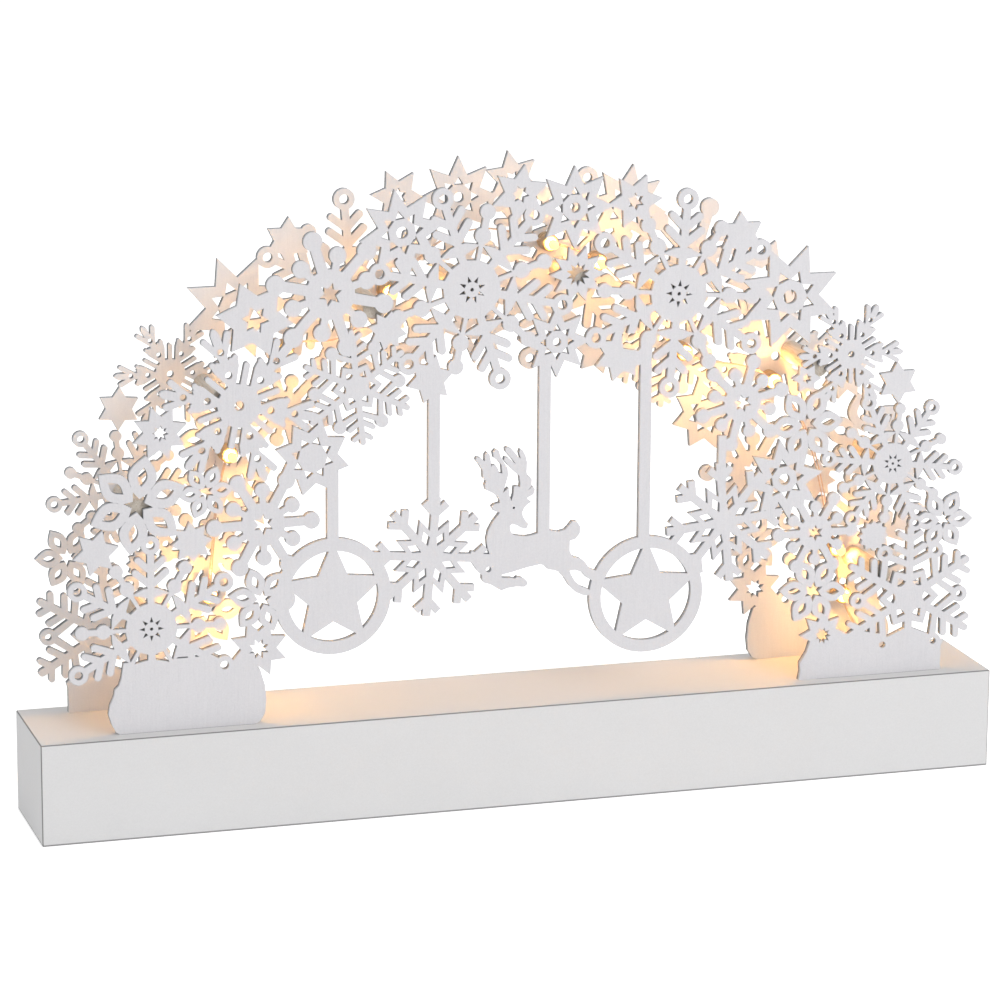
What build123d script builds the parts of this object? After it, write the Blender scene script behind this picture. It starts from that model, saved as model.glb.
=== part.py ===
from build123d import *
from math import atan2, cos, pi, radians, sin
import os

os.makedirs("parts", exist_ok=True)

# Candle arch of painted birch plywood. Millimetres, +Z up, X along the arch, front towards -Y.
# Origin: middle of the footprint, on the surface that the arch stands on.

# Base box
arch_length = 450.0
base_depth = 58.0
base_height = 46.5
board_thickness = 5.0
edge_break = 0.4
joint_gap = 0.05

# Fretwork panels
panel_thickness = 3.0
panel_spacing = 36.0
panel_height = 246.0
height_share = 0.5467
tenon_width = 24.0
tenon_margin = 3.0

# Spacer rods and lights
dowel_radius = 5.0
wire_radius = 0.9
bend_radius = 9.0
socket_radius = 4.2
socket_length = 9.0
bulb_radius = 2.6
bulb_length = 8.0

# Battery box, held under the top board and open to below
box_length = 72.0
box_width = 44.0
box_height = 20.0
box_wall = 1.6
box_end_gap = 69.0
box_centre_y = 0.0
lid_thickness = 2.0
lid_clearance = 0.06
knob_travel = 2.0
knob_width = 3.2
knob_length = 5.0
slot_clearance = 0.06
cell_radius = 5.25
cell_length = 44.5
cell_pitch = 11.0
plate_thickness = 0.5
plate_size = 9.0
timer_width = 30.0
timer_thickness = 1.6
screw_radius = 1.5
screw_head_radius = 3.0
screw_head_height = 1.6

# Sizes that follow from those above
grid_height = panel_height / height_share
half_length = arch_length / 2
half_depth = base_depth / 2
box_centre_x = half_length - box_end_gap - box_length / 2
top_face = base_height
top_underside = base_height - board_thickness
back_face = panel_spacing / 2 + panel_thickness
front_inner = -panel_spacing / 2
back_inner = panel_spacing / 2

# Outlines of the cut-outs, as shares of each shape's reach: along the arm, across the arm
twig_shares = [
    (0.3, 0.045), (0.5, 0.045), (0.67, 0.2), (0.66, 0.045), (0.85, 0.17), (0.84, 0.045),
    (1.11, 0.1),
]
short_twig_shares = [(0.3, 0.045), (0.52, 0.045), (0.75, 0.19), (0.76, 0.05), (0.96, 0.12), (1.11, 0.06)]
plain_twig_shares = [(0.3, 0.045), (0.58, 0.045), (0.78, 0.19), (0.84, 0.06), (1.07, 0.1)]
knob_arm_shares = [(0.3, 0.03), (0.7, 0.03), (0.83, 0.1), (0.93, 0)]
plain_knob_arm_shares = [(0.3, 0.03), (0.9, 0.08)]
paddle_shares = [(0.3, 0.09), (0.82, 0.09), (1.1, 0.17)]
plain_paddle_shares = [(0.3, 0.08), (1.12, 0.16)]
stub_shares = [(0.3, 0.06), (0.84, 0.14)]
petal_shares = [(0.15, 0), (0.48, 0.3), (0.78, 0.26), (1, 0)]
plain_petal_shares = [(0.15, 0), (0.62, 0.34), (1, 0)]
petal_eye_shares = [(0.42, 0), (0.63, 0.09), (0.83, 0)]
slotted_arm_shares = [(0.1, 0.1), (0.5, 0.08), (0.84, 0.2), (1, 0)]
tooth_shares = [(0.15, 0.04), (0.53, 0.04)]
chevron_opening_shares = [(0.52, 0), (0.48, 0.21), (0.62, 0.26), (0.76, 0)]
ray_opening_shares = [(0.36, 0.115), (0.53, 0)]
branch_shares = [(0.6, 0.075), (0.86, 0.075), (1.16, 0.29), (1.34, 0.06)]
ring_arm_shares = [(0.6, 0.07), (0.98, 0.14), (1.14, 0)]
prong_arm_shares = [(0.3, 0.07), (0.76, 0.07), (0.9, 0.23), (1, 0.07)]
diamond_shares = [(0.24, 0.07), (0.47, 0)]
wheel_rim_share = 0.79
wheel_tip_share = 0.94
wheel_notch_share = 0.435
ringed_heart_share = 0.5
ring_hole_share = 0.055
ball_heart_share = 0.48
ball_star_share = 0.18
flower_heart_share = 0.52
flower_star_share = 0.22
sun_notch_share = 0.57
star_notch_share = 0.6
chevron_heart_share = 0.9
prong_star_share = 0.66
prong_notch_share = 0.62
fine_reach_share = 0.09
eye_reach_share = 0.04
ray_reach_share = 0.05

# Where each shape sits, as shares of the arch: x, z above the base, reach, then its turn in degrees
ringed_flakes_shares = [
    (-0.384, 0.105, 0.084, 0), (-0.059, 0.427, 0.096, 18),
    (0.157, 0.412, 0.0955, -4), (0.392, 0.223, 0.07, 23),
]
ball_flakes_shares = [
    (-0.203, 0.429, 0.0555, 48), (-0.271, 0.203, 0.049, 0),
    (0.223, 0.297, 0.0435, 15), (0.309, 0.156, 0.0445, 0),
]
flowers_shares = [
    (-0.396, 0.23, 0.047, 20), (-0.328, 0.239, 0.0285, 5), (-0.274, 0.127, 0.033, 50),
    (0.297, 0.27, 0.0365, 0), (0.308, 0.094, 0.0365, 0), (0.45, 0.16, 0.0325, 0),
]
suns_shares = [
    (-0.13, 0.487, 0.0433, 10), (0.047, 0.504, 0.0415, 0), (0.275, 0.403, 0.052, 26),
    (0.03, 0.37, 0.036, 0), (-0.221, 0.267, 0.038, -15), (0.274, 0.214, 0.042, 8),
]
slotted_flakes_shares = [(-0.294, 0.323, 0.0825, 48.5), (0.343, 0.3405, 0.0567, 0)]
chevron_flakes_shares = [(-0.176, 0.335, 0.0445, 6), (0.4145, 0.082, 0.058, 0)]
prong_flakes_shares = [(-0.0993, 0.158, 0.0607, -5), (0.2102, 0.1733, 0.0622, 6)]
wheels_shares = [(-0.2007, 0.125, 0.0594, 90), (0.1267, 0.104, 0.0604, 90)]

# Plain stars: x, z above the base, reach, turn in degrees, number of tips, reach of the hole
stars_shares = [
    (-0.373, 0.3, 0.0305, 15, 8, 0.007), (-0.278, 0.408, 0.039, -8, 6, 0.011),
    (-0.277, 0.077, 0.03, 22, 8, 0.009), (-0.01, 0.52, 0.0296, 20, 6, 0.008),
    (0.11, 0.507, 0.0285, 5, 6, 0.008), (0.051, 0.437, 0.029, 0, 10, 0.01),
    (0.294, 0.317, 0.02, 0, 6, 0), (-0.101, 0.339, 0.0245, 15, 6, 0),
    (0.397, 0.309, 0.0235, 33, 6, 0), (0.223, 0.468, 0.024, 32, 6, 0),
    (0.097, 0.353, 0.028, 22, 7, 0),
]

# Hanging strips of the garland: middle x, lower end, upper end, half width
strips_shares = [
    (-0.2004, 0.179, 0.25, 0.0058), (-0.097, 0.208, 0.33, 0.0059), (0.0176, 0.16, 0.355, 0.006),
    (0.1236, 0.161, 0.36, 0.0059), (0.205, 0.208, 0.262, 0.0053),
]

# Feet of the panels and the leaping reindeer: x and z above the base
left_foot_shares = [
    (-0.422, 0), (-0.271, 0), (-0.269, 0.034), (-0.277, 0.057), (-0.312, 0.079), (-0.415, 0.075),
    (-0.42, 0.048), (-0.428, 0.022),
]
right_foot_shares = [
    (0.291, 0), (0.451, 0), (0.452, 0.03), (0.436, 0.043), (0.391, 0.043), (0.333, 0.066), (0.296, 0.064),
    (0.29, 0.044),
]
deer_shares = [
    (-0.039, 0.155), (-0.042, 0.172), (-0.038, 0.189), (-0.028, 0.199), (-0.037, 0.204), (-0.028, 0.2085),
    (-0.043, 0.223), (-0.046, 0.242), (-0.054, 0.2555), (-0.049, 0.2575), (-0.044, 0.252), (-0.042, 0.263),
    (-0.037, 0.245), (-0.03, 0.243), (-0.0365, 0.261), (-0.031, 0.263), (-0.021, 0.242), (-0.0255, 0.219),
    (-0.0165, 0.21), (-0.0135, 0.225), (-0.008, 0.23), (-0.0245, 0.254), (-0.021, 0.256), (-0.0145, 0.251),
    (-0.0235, 0.264), (-0.019, 0.265), (-0.009, 0.254), (-0.0055, 0.263), (0, 0.24), (0.0045, 0.229),
    (0.001, 0.22), (0.008, 0.2215), (-0.0005, 0.212), (0.004, 0.208), (-0.005, 0.197), (0.0005, 0.184),
    (-0.017, 0.1865), (-0.0145, 0.175), (0.037, 0.176), (0.047, 0.185), (0.0555, 0.176), (0.045, 0.164),
    (0.045, 0.153), (0.0575, 0.1455), (0.072, 0.133), (0.072, 0.121), (0.058, 0.132), (0.0455, 0.1345),
    (0.052, 0.123), (0.067, 0.112), (0.0645, 0.107), (0.047, 0.1165), (0.032, 0.1345), (0.0165, 0.1425),
    (-0.0255, 0.1345), (-0.018, 0.131), (0, 0.127), (-0.001, 0.121), (-0.022, 0.1215), (-0.027, 0.118),
    (-0.045, 0.129), (-0.06, 0.1535), (-0.0505, 0.1595),
]

# Fretwork geometry


def both_sides(half_shares):
    # a half outline and its reflection in the arm's middle line, as one closed outline
    other_half = [(along, -across) for along, across in half_shares if across != 0]
    return half_shares + other_half[::-1]


def polygon_shares(count, reach, start=0, along=0):
    angles = [radians(start + 360 * index / count) for index in range(count)]
    return [(along + reach * cos(angle), reach * sin(angle)) for angle in angles]


def star_shares(count, notch, start=0):
    corners = []
    for index in range(count):
        tip_angle = radians(start + 360 * index / count)
        notch_angle = radians(start + 360 * (index + 0.5) / count)
        corners.append((cos(tip_angle), sin(tip_angle)))
        corners.append((notch * cos(notch_angle), notch * sin(notch_angle)))
    return corners


def wheel_opening_shares():
    # one gap between the rim and two tips of the wheel's star
    notch_x = wheel_notch_share * cos(pi / 5)
    notch_z = wheel_notch_share * sin(pi / 5)
    edge_x = wheel_tip_share - notch_x
    edge_z = -notch_z
    edge_square = edge_x * edge_x + edge_z * edge_z
    half_linear = notch_x * edge_x + notch_z * edge_z
    constant = wheel_notch_share ** 2 - wheel_rim_share ** 2
    step = (-half_linear + (half_linear ** 2 - edge_square * constant) ** 0.5) / edge_square
    first_angle = atan2(notch_z + step * edge_z, notch_x + step * edge_x)
    arc_angles = [first_angle + (2 * pi / 5 - 2 * first_angle) * index / 4 for index in range(5)]
    rim_corners = [(wheel_rim_share * cos(angle), wheel_rim_share * sin(angle)) for angle in arc_angles]
    return [(notch_x, notch_z)] + rim_corners


def set_down(points_shares, place_shares, turn=0):
    # one outline turned about its own centre and set down on the stretched grid of the arch
    x_share, z_share, reach_share, own_turn = place_shares[:4]
    angle = radians(own_turn + turn)
    corners = []
    for along, across in points_shares:
        corner_x = x_share + reach_share * (along * cos(angle) - across * sin(angle))
        corner_z = z_share + reach_share * (along * sin(angle) + across * cos(angle))
        corners.append((corner_x * arch_length, base_height + corner_z * grid_height))
    return corners


def on_grid(points_shares):
    return [(x * arch_length, base_height + z * grid_height) for x, z in points_shares]


def arch_pattern(fine):
    # outlines and holes of everything that arches over from foot to foot
    outlines = [on_grid(left_foot_shares), on_grid(right_foot_shares)]
    holes = []
    for place in ringed_flakes_shares:
        wide = fine and place[2] > fine_reach_share
        ring_arm = twig_shares if wide else short_twig_shares if fine else plain_twig_shares
        knob_arm = knob_arm_shares if wide else plain_knob_arm_shares
        outlines.append(set_down(polygon_shares(6, ringed_heart_share, 30), place))
        for turn in range(0, 360, 60):
            outlines.append(set_down(both_sides(ring_arm), place, 30 + turn))
            outlines.append(set_down(both_sides(knob_arm), place, turn))
            if wide:
                holes.append(set_down(polygon_shares(3, ring_hole_share, 0, 1), place, 30 + turn))
    paddle = paddle_shares if fine else plain_paddle_shares
    for place in ball_flakes_shares:
        outlines.append(set_down(polygon_shares(6, ball_heart_share, 30), place))
        if fine:
            holes.append(set_down(polygon_shares(3, ball_star_share, 30), place))
        for turn in range(0, 360, 60):
            outlines.append(set_down(both_sides(paddle), place, turn))
            outlines.append(set_down(both_sides(stub_shares), place, 30 + turn))
    for place in flowers_shares:
        outlines.append(set_down(polygon_shares(6, flower_heart_share, 30), place))
        holes.append(set_down(polygon_shares(3, flower_star_share, 30), place))
        for turn in range(0, 360, 60):
            outlines.append(set_down(both_sides(petal_shares if fine else plain_petal_shares), place, turn))
            if fine and place[2] > eye_reach_share:
                holes.append(set_down(both_sides(petal_eye_shares), place, turn))
    for place in suns_shares:
        outlines.append(set_down(star_shares(8, sun_notch_share), place))
        if fine and place[2] > ray_reach_share:
            for turn in range(0, 360, 45):
                holes.append(set_down(both_sides(ray_opening_shares), place, turn))
    for place in stars_shares:
        outlines.append(set_down(star_shares(place[4], star_notch_share), place))
        if place[5] > 0 and fine:
            hole_place = (place[0], place[1], place[5], place[3])
            holes.append(set_down(polygon_shares(4, 1), hole_place))
    for place in slotted_flakes_shares:
        for turn in range(0, 360, 60):
            outlines.append(set_down(both_sides(slotted_arm_shares), place, turn))
            if fine:
                outlines.append(set_down(both_sides(tooth_shares), place, 30 + turn))
    for place in chevron_flakes_shares:
        outlines.append(set_down(polygon_shares(6, chevron_heart_share, 30), place))
        for turn in range(0, 360, 60):
            outlines.append(set_down(both_sides(ring_arm_shares), place, turn))
            outlines.append(set_down(both_sides(branch_shares), place, 30 + turn))
            if fine:
                holes.append(set_down(both_sides(chevron_opening_shares), place, turn))
    return outlines, holes


def garland_pattern():
    # star wheels, pronged flakes, strips and reindeer that hang inside the front arch
    outlines = [on_grid(deer_shares)]
    holes = []
    for place in wheels_shares:
        outlines.append(set_down(polygon_shares(20, 1), place))
        for turn in range(0, 360, 72):
            holes.append(set_down(wheel_opening_shares(), place, turn))
    for place in prong_flakes_shares:
        star_place = (place[0], place[1], place[2] * prong_star_share, place[3])
        outlines.append(set_down(star_shares(8, prong_notch_share, 22.5), star_place))
        for turn in range(0, 360, 45):
            outlines.append(set_down(both_sides(prong_arm_shares), place, turn))
            holes.append(set_down(both_sides(diamond_shares), place, 22.5 + turn))
    for middle, lower, upper, half_width in strips_shares:
        left = middle - half_width
        right = middle + half_width
        outlines.append(on_grid([(left, lower), (right, lower), (right, upper), (left, upper)]))
    return outlines, holes


def sheet_pieces(outlines):
    return [Polygon(*corners, align=None, mode=Mode.PRIVATE) for corners in outlines]


arch_outlines, arch_holes = arch_pattern(True)
garland_outlines, garland_holes = garland_pattern()
plain_outlines, plain_holes = arch_pattern(False)

# Tenons below the feet drop through slots in the top board; the rear panel is the arch turned left to right
tenon_places_shares = [-0.391, -0.31, 0.33, 0.411]
tenon_places_x = [share * arch_length for share in tenon_places_shares]
rear_tenon_places_x = [-place_x for place_x in tenon_places_x]
tenon_height = board_thickness + tenon_margin
tenon_middle = top_underside + tenon_height / 2

# Rods between the panels at the hearts of the ringed flakes, on both sides of the middle
rod_places_shares = [(0.3844, 0.105), (0.392, 0.223), (0.31, 0.328), (0.157, 0.412), (0.059, 0.427)]
rod_length = panel_spacing

# Lights in the order of the cord, from the right foot round to the left foot
light_places_shares = [
    (0.369, 0.0673), (0.36, 0.119), (0.286, 0.301), (0.1885, 0.3365), (0.0955, 0.4345), (0.0435, 0.4565),
    (-0.1238, 0.4144), (-0.2311, 0.361), (-0.2882, 0.2584), (-0.3098, 0.1155),
]

# Front panel: arch, garland and tenons cut from one sheet
with BuildPart() as front_panel:
    with BuildSketch(Plane.XZ.offset(-front_inner)):
        add(sheet_pieces(arch_outlines + garland_outlines))
        with Locations(*[(place_x, tenon_middle) for place_x in tenon_places_x]):
            Rectangle(tenon_width, tenon_height)
        add(sheet_pieces(arch_holes + garland_holes), mode=Mode.SUBTRACT)
    extrude(amount=panel_thickness)
front_panel.part.label = "front_panel"

# Back panel: the plain arch, reflected, with no garland
with BuildPart() as back_panel:
    with BuildSketch(Plane.XZ.offset(-back_face)):
        add(sheet_pieces(plain_outlines))
        add(sheet_pieces(plain_holes), mode=Mode.SUBTRACT)
        mirror(about=Plane.YZ, mode=Mode.REPLACE)
        with Locations(*[(place_x, tenon_middle) for place_x in rear_tenon_places_x]):
            Rectangle(tenon_width, tenon_height)
    extrude(amount=panel_thickness)
back_panel.part.label = "back_panel"

# Top board of the base: mitred all round, slotted for the tenons, drilled for the cord and the box screws
cord_hole_radius = wire_radius * 2
cord_place_share = 0.389
cord_x = cord_place_share * arch_length
cord_y = panel_spacing / 2 - socket_length / 2
slot_width = tenon_width + 2 * joint_gap
slot_depth = panel_thickness + 2 * joint_gap
front_slots = [(place_x, front_inner - panel_thickness / 2) for place_x in tenon_places_x]
rear_slots = [(place_x, back_inner + panel_thickness / 2) for place_x in rear_tenon_places_x]
flange_length = screw_head_radius * 3
screw_places_x = [
    box_centre_x - box_length / 2 - flange_length / 2,
    box_centre_x + box_length / 2 + flange_length / 2,
]


def mitred_board(length, low, high, low_setback):
    # one board lying face up: mitred at both ends and at its high edge, set back at its low edge
    half = length / 2
    with BuildPart() as board:
        with BuildSketch(Plane.XZ.offset(-high)):
            with BuildLine():
                Polyline(
                    (-half, 0), (half, 0), (half - board_thickness, -board_thickness),
                    (board_thickness - half, -board_thickness), close=True,
                )
            make_face()
        extrude(amount=high - low)
        with BuildSketch(Plane.YZ.offset(-half)):
            with BuildLine():
                Polyline(
                    (low, 0), (high, 0), (high - board_thickness, -board_thickness),
                    (low + low_setback, -board_thickness), close=True,
                )
            make_face()
        extrude(amount=length, mode=Mode.INTERSECT)
        chamfer(board.faces().sort_by(Axis.Z)[-1].edges(), edge_break)
    return board.part


with BuildPart() as top_board:
    full_board = mitred_board(arch_length, -half_depth, half_depth, board_thickness)
    add(Plane.XY.offset(top_face).location * full_board)
    with BuildSketch(Plane.XY.offset(top_face)):
        with Locations(*front_slots, *rear_slots):
            Rectangle(slot_width, slot_depth)
        with Locations((cord_x, cord_y)):
            RegularPolygon(cord_hole_radius, 8)
    extrude(amount=-board_thickness, mode=Mode.SUBTRACT)
    with BuildSketch(Plane.XY.offset(top_underside)):
        with Locations(*[(place_x, box_centre_y) for place_x in screw_places_x]):
            RegularPolygon(screw_radius, 8)
    extrude(amount=board_thickness - screw_radius, mode=Mode.SUBTRACT)
top_board.part.label = "top_board"

# Upright boards, mitred to each other and to the top board, square where they stand
front_plane = Plane(origin=(0, -half_depth, 0), x_dir=(1, 0, 0), z_dir=(0, -1, 0))
rear_plane = Plane(origin=(0, half_depth, 0), x_dir=(-1, 0, 0), z_dir=(0, 1, 0))
left_plane = Plane(origin=(-half_length, 0, 0), x_dir=(0, -1, 0), z_dir=(-1, 0, 0))
right_plane = Plane(origin=(half_length, 0, 0), x_dir=(0, 1, 0), z_dir=(1, 0, 0))
front_board = front_plane.location * mitred_board(arch_length, 0, base_height, 0)
front_board.label = "front_board"
rear_board = rear_plane.location * mitred_board(arch_length, 0, base_height, 0)
rear_board.label = "rear_board"
left_board = left_plane.location * mitred_board(base_depth, 0, base_height, 0)
left_board.label = "left_end_board"
right_board = right_plane.location * mitred_board(base_depth, 0, base_height, 0)
right_board.label = "right_end_board"

# Spacer rods, one node each, ends flat against both panels
rods = []
for rod_x, rod_z in on_grid(rod_places_shares):
    for side in (-1, 1):
        with BuildPart() as rod:
            with BuildSketch(Plane.XZ.offset(-back_inner)):
                with Locations((side * rod_x, rod_z)):
                    RegularPolygon(dowel_radius, 8)
            extrude(amount=rod_length)
        rod.part.label = f"spacer_rod_{len(rods) + 1}"
        rods.append(rod.part)

# Cord of the lights: out of the battery box, up through the top board, round the arch by every socket
light_places = on_grid(light_places_shares)
cord_level = top_underside - box_height / 2 - wire_radius * 2
box_end_x = box_centre_x + box_length / 2
turn_shares = [(-0.049, 0.47), (-0.167, 0.372)]
over_turn, under_rod = on_grid(turn_shares)
cord_route = [(box_end_x, cord_level), (cord_x, cord_level), (cord_x, top_face + bend_radius)]
cord_route += light_places[:6] + [over_turn] + light_places[6:7] + [under_rod] + light_places[7:]
with BuildPart() as led_string:
    with BuildLine(Plane.XZ.offset(-cord_y)) as cord_line:
        FilletPolyline(*cord_route, radius=bend_radius)
    with BuildSketch(Plane(origin=(box_end_x, cord_y, cord_level), x_dir=(0, 1, 0), z_dir=(1, 0, 0))):
        RegularPolygon(wire_radius, 4, rotation=45)
    sweep(path=cord_line.wire())
    with BuildSketch(Plane.XZ.offset(-back_inner)):
        with Locations(*light_places):
            RegularPolygon(socket_radius, 6)
    extrude(amount=socket_length)
led_string.part.label = "led_string"
print("cord length", round(cord_line.wire().length, 1), "bend radius", bend_radius)

# Warm bulbs, one node each, standing out of their sockets towards the front panel
bulbs = []
for place in light_places:
    with BuildPart() as bulb:
        with BuildSketch(Plane.XZ.offset(socket_length - back_inner)):
            with Locations(place):
                RegularPolygon(bulb_radius, 6)
        extrude(amount=bulb_length)
        chamfer(bulb.faces().sort_by(Axis.Y)[0].edges(), bulb_radius / 2)
    bulb.part.label = f"led_bulb_{len(bulbs) + 1}"
    bulbs.append(bulb.part)

# Battery box: cell bay with lid grooves, and a switch bay beside it behind a fixed floor
box_bottom = top_underside - box_height
bay_length = cell_length + 4 * box_wall
groove_depth = box_wall / 2
groove_height = lid_thickness + 2 * lid_clearance
lid_bottom = box_bottom + box_wall
left_end_x = box_centre_x - box_length / 2
bay_middle_x = left_end_x + box_wall + bay_length / 2
switch_bay_length = box_length - 3 * box_wall - bay_length
switch_middle_x = box_end_x - box_wall - switch_bay_length / 2
inner_width = box_width - 2 * box_wall
knob_slot_length = knob_length + 2 * knob_travel + 2 * slot_clearance
with BuildPart() as battery_box:
    with BuildSketch(Plane.XY.offset(box_bottom)):
        with Locations((box_centre_x, box_centre_y)):
            Rectangle(box_length, box_width)
    extrude(amount=box_height)
    with BuildSketch(Plane.XY.offset(top_underside)):
        with Locations(*[(place_x, box_centre_y) for place_x in screw_places_x]):
            Rectangle(flange_length, screw_head_radius * 4)
    extrude(amount=-lid_thickness)
    with BuildSketch(Plane.XY.offset(box_bottom)):
        with Locations((bay_middle_x, box_centre_y)):
            Rectangle(bay_length, inner_width)
    extrude(amount=box_height - box_wall, mode=Mode.SUBTRACT)
    with BuildSketch(Plane.XY.offset(box_bottom + box_wall)):
        with Locations((switch_middle_x, box_centre_y)):
            Rectangle(switch_bay_length, inner_width)
    extrude(amount=box_height - 2 * box_wall, mode=Mode.SUBTRACT)
    with BuildSketch(Plane.XY.offset(box_bottom)):
        with Locations((left_end_x + (bay_length + box_wall) / 2, box_centre_y)):
            Rectangle(bay_length + box_wall, inner_width)
    extrude(amount=box_wall, mode=Mode.SUBTRACT)
    with BuildSketch(Plane.XY.offset(lid_bottom - lid_clearance)):
        with Locations((left_end_x + (bay_length + box_wall) / 2, box_centre_y)):
            Rectangle(bay_length + box_wall, inner_width + 2 * groove_depth)
    extrude(amount=groove_height, mode=Mode.SUBTRACT)
    with BuildSketch(Plane.XY.offset(box_bottom)):
        with Locations((switch_middle_x, box_centre_y)):
            Rectangle(knob_width + 2 * slot_clearance, knob_slot_length)
    extrude(amount=box_wall, mode=Mode.SUBTRACT)
    with BuildSketch(Plane.XY.offset(top_underside)):
        with Locations(*[(place_x, box_centre_y) for place_x in screw_places_x]):
            RegularPolygon(screw_radius, 8)
    extrude(amount=-lid_thickness, mode=Mode.SUBTRACT)
battery_box.part.label = "battery_box"

# Sliding lid with a finger step at its open end; it runs out towards the left
lid_width = inner_width + 2 * groove_depth - 2 * lid_clearance
lid_length = bay_length + box_wall - lid_clearance
grip_width = inner_width / 2
with BuildPart() as battery_lid:
    with BuildSketch(Plane.XY.offset(lid_bottom)):
        with Locations((left_end_x + lid_length / 2, box_centre_y)):
            Rectangle(lid_length, lid_width)
    extrude(amount=lid_thickness)
    with BuildSketch(Plane.XY.offset(lid_bottom)):
        with Locations((left_end_x + box_wall, box_centre_y)):
            Rectangle(lid_thickness, grip_width)
    extrude(amount=-box_wall / 2)
battery_lid.part.label = "battery_lid"

# Switch knob: a broad foot inside the box, a stem in the slot and a grip below
with BuildPart() as switch_knob:
    with BuildSketch(Plane.XY.offset(box_bottom - box_wall)):
        with Locations((switch_middle_x, box_centre_y)):
            Rectangle(knob_width, knob_length)
    extrude(amount=2 * box_wall + lid_clearance)
    with BuildSketch(Plane.XY.offset(box_bottom + box_wall + lid_clearance)):
        with Locations((switch_middle_x, box_centre_y)):
            Rectangle(knob_width * 2, knob_length)
    extrude(amount=box_wall / 2)
switch_knob.part.label = "switch_knob"

# Timer board, wedged between the switch bay's end walls above the knob
with BuildPart() as timer_board:
    with BuildSketch(Plane.XY.offset(top_underside - box_height / 3)):
        with Locations((switch_middle_x, box_centre_y)):
            Rectangle(switch_bay_length, timer_width)
    extrude(amount=timer_thickness)
timer_board.part.label = "timer_board"

# Three cells side by side under the bay's roof, each with its raised cap
cell_middle_z = top_underside - box_wall - cell_radius
cell_left_x = bay_middle_x - cell_length / 2
cap_radius = cell_radius / 3
cap_length = plate_thickness * 2
cells = []
for row in (-1, 0, 1):
    cell_start = (cell_left_x, box_centre_y + row * cell_pitch, cell_middle_z)
    with BuildPart() as cell:
        with BuildSketch(Plane(origin=cell_start, z_dir=(1, 0, 0))):
            RegularPolygon(cell_radius, 12)
        extrude(amount=cell_length - cap_length)
        with BuildSketch(cell.faces().sort_by(Axis.X)[-1]):
            RegularPolygon(cap_radius, 8)
        extrude(amount=cap_length)
    cell.part.label = f"cell_{row + 2}"
    cells.append(cell.part)

# Contacts: flat plates at the capped ends, bent leaf springs at the other ends
right_wall_x = bay_middle_x + bay_length / 2
left_wall_x = bay_middle_x - bay_length / 2
plate_gap = right_wall_x - bay_middle_x - cell_length / 2
plate_plane = Plane(origin=(right_wall_x, box_centre_y, cell_middle_z), x_dir=(0, 1, 0), z_dir=(-1, 0, 0))
spring_plane = Plane(origin=(left_wall_x, box_centre_y, cell_middle_z), x_dir=(0, 1, 0), z_dir=(1, 0, 0))
with BuildPart() as contact_plates:
    with BuildSketch(plate_plane):
        with Locations(*[(row * cell_pitch, 0) for row in (-1, 0, 1)]):
            Rectangle(plate_size, plate_size)
    extrude(amount=plate_thickness)
    with BuildSketch(plate_plane):
        with Locations(*[(row * cell_pitch, 0) for row in (-1, 0, 1)]):
            Rectangle(cap_radius * 2, cap_radius * 2)
    extrude(amount=plate_gap)
contact_plates.part.label = "contact_plates"

with BuildPart() as contact_springs:
    with BuildSketch(spring_plane):
        with Locations(*[(row * cell_pitch, 0) for row in (-1, 0, 1)]):
            Rectangle(plate_size, plate_size)
    extrude(amount=plate_thickness)
    for row in (-1, 0, 1):
        with BuildSketch(Plane.XZ.offset(-row * cell_pitch - plate_size / 4)):
            with BuildLine():
                Polyline(
                    (left_wall_x + plate_thickness, cell_middle_z - plate_size / 2),
                    (left_wall_x + plate_gap, cell_middle_z - plate_thickness),
                    (left_wall_x + plate_gap, cell_middle_z + plate_thickness),
                    (left_wall_x + plate_thickness, cell_middle_z + plate_size / 2),
                    (left_wall_x + plate_thickness, cell_middle_z + plate_size / 2 - plate_thickness),
                    (left_wall_x + plate_gap - plate_thickness, cell_middle_z),
                    (left_wall_x + plate_thickness, cell_middle_z - plate_size / 2 + plate_thickness),
                    close=True,
                )
            make_face()
        extrude(amount=plate_size / 2)
contact_springs.part.label = "contact_springs"

# Two screws through the box flanges into the top board, one node
screw_depth = board_thickness - screw_radius
with BuildPart() as box_screws:
    with BuildSketch(Plane.XY.offset(top_underside - lid_thickness)):
        with Locations(*[(place_x, box_centre_y) for place_x in screw_places_x]):
            RegularPolygon(screw_radius, 8)
    extrude(amount=lid_thickness + screw_depth)
    with BuildSketch(Plane.XY.offset(top_underside - lid_thickness)):
        with Locations(*[(place_x, box_centre_y) for place_x in screw_places_x]):
            RegularPolygon(screw_head_radius, 8)
    extrude(amount=-screw_head_height)
box_screws.part.label = "box_screws"

# Every piece is written on its own
pieces = [
    front_panel.part, back_panel.part, top_board.part, front_board, rear_board, left_board, right_board,
    led_string.part, battery_box.part, battery_lid.part, switch_knob.part, timer_board.part,
    contact_plates.part, contact_springs.part, box_screws.part,
]
for piece in pieces + rods + bulbs + cells:
    export_step(piece, f"parts/{piece.label}.step")
    bounds = piece.bounding_box()
    print(piece.label, len(piece.solids()), round(piece.volume), bounds.min, bounds.max)
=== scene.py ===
import bpy
from math import atan2, cos, pi, radians, sin, sqrt
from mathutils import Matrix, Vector, geometry


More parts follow.
